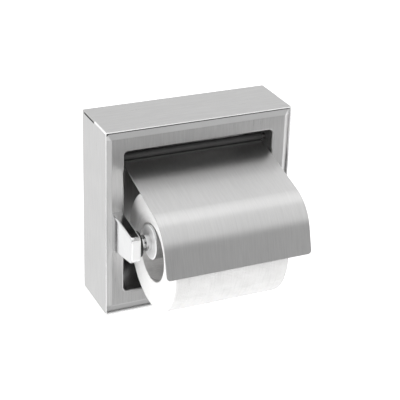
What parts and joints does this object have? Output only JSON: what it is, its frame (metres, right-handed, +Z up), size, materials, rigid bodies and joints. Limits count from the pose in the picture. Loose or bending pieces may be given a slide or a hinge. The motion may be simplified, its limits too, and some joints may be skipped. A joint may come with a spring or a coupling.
{
  "type": "toilet paper holder",
  "caption": "Square wall-mounted stainless toilet paper holder with a recess, two posts, a spring roller, a paper roll and a curved lift-up hood.",
  "frame": {"origin": "centre of the pan's back face, on the wall plane, in the middle of the four wall holes", "axes": "+Y into the wall, -Y the front towards the user, +Z up, X along the roller"},
  "size_m": [0.159, 0.1297, 0.159],
  "materials": {
    "shell_steel": "satin brushed stainless",
    "pan_steel": "satin brushed stainless",
    "hood_steel": "satin brushed stainless",
    "bracket_steel": "plain sheet",
    "post_chrome": "bright chrome plate",
    "roller_chrome": "bright chrome plate on plastic",
    "bush_black": "moulded",
    "fastener_steel": "zinc plated",
    "spring_steel": "drawn wire",
    "tissue": "soft creped paper",
    "core_board": "spiral-wound board"
  },
  "bodies": {
    "housing": {"housing_shell": "shell_steel", "recess_pan": "pan_steel", "hinge_rod": "fastener_steel", "left_side_bracket": "bracket_steel", "right_side_bracket": "bracket_steel", "left_bracket_screws": "fastener_steel", "right_bracket_screws": "fastener_steel", "left_post": "post_chrome", "right_post": "post_chrome", "left_bearing_bush": "bush_black", "right_bearing_bush": "bush_black", "left_post_screws": "fastener_steel", "right_post_screws": "fastener_steel", "left_post_washers": "fastener_steel", "right_post_washers": "fastener_steel", "left_rod_cap": "fastener_steel", "right_rod_cap": "fastener_steel"},
    "hood": {"hood": "hood_steel"},
    "roll": {"paper_roll": "tissue", "cardboard_core": "core_board"},
    "roller": {"roller_sleeve": "roller_chrome", "roller_spring": "spring_steel"},
    "plunger": {"roller_plunger": "roller_chrome"}
  },
  "joints": [
    {"name": "hood_hinge", "type": "hinge", "parent": "housing", "child": "hood", "pos_m": [0, -0.0353, 0.05045], "axis": [-1, 0, 0], "range_deg": [0, 52]},
    {"name": "roll_spin", "type": "hinge", "parent": "housing", "child": "roll", "pos_m": [0, -0.0793, -0.0131], "axis": [1, 0, 0], "continuous": true},
    {"name": "roller_spin", "type": "hinge", "parent": "housing", "child": "roller", "pos_m": [0, -0.0793, -0.0036], "axis": [1, 0, 0], "continuous": true},
    {"name": "plunger_slide", "type": "slide", "parent": "roller", "child": "plunger", "axis": [-1, 0, 0], "range_m": [0, 0.008], "stiffness_N_per_m": 350, "springref_m": -0.012, "deforming": ["roller_spring"]}
  ],
  "couplings": [
    {"joint": "roller_spin", "follows": "roll_spin", "ratio": 1.7101}
  ]
}
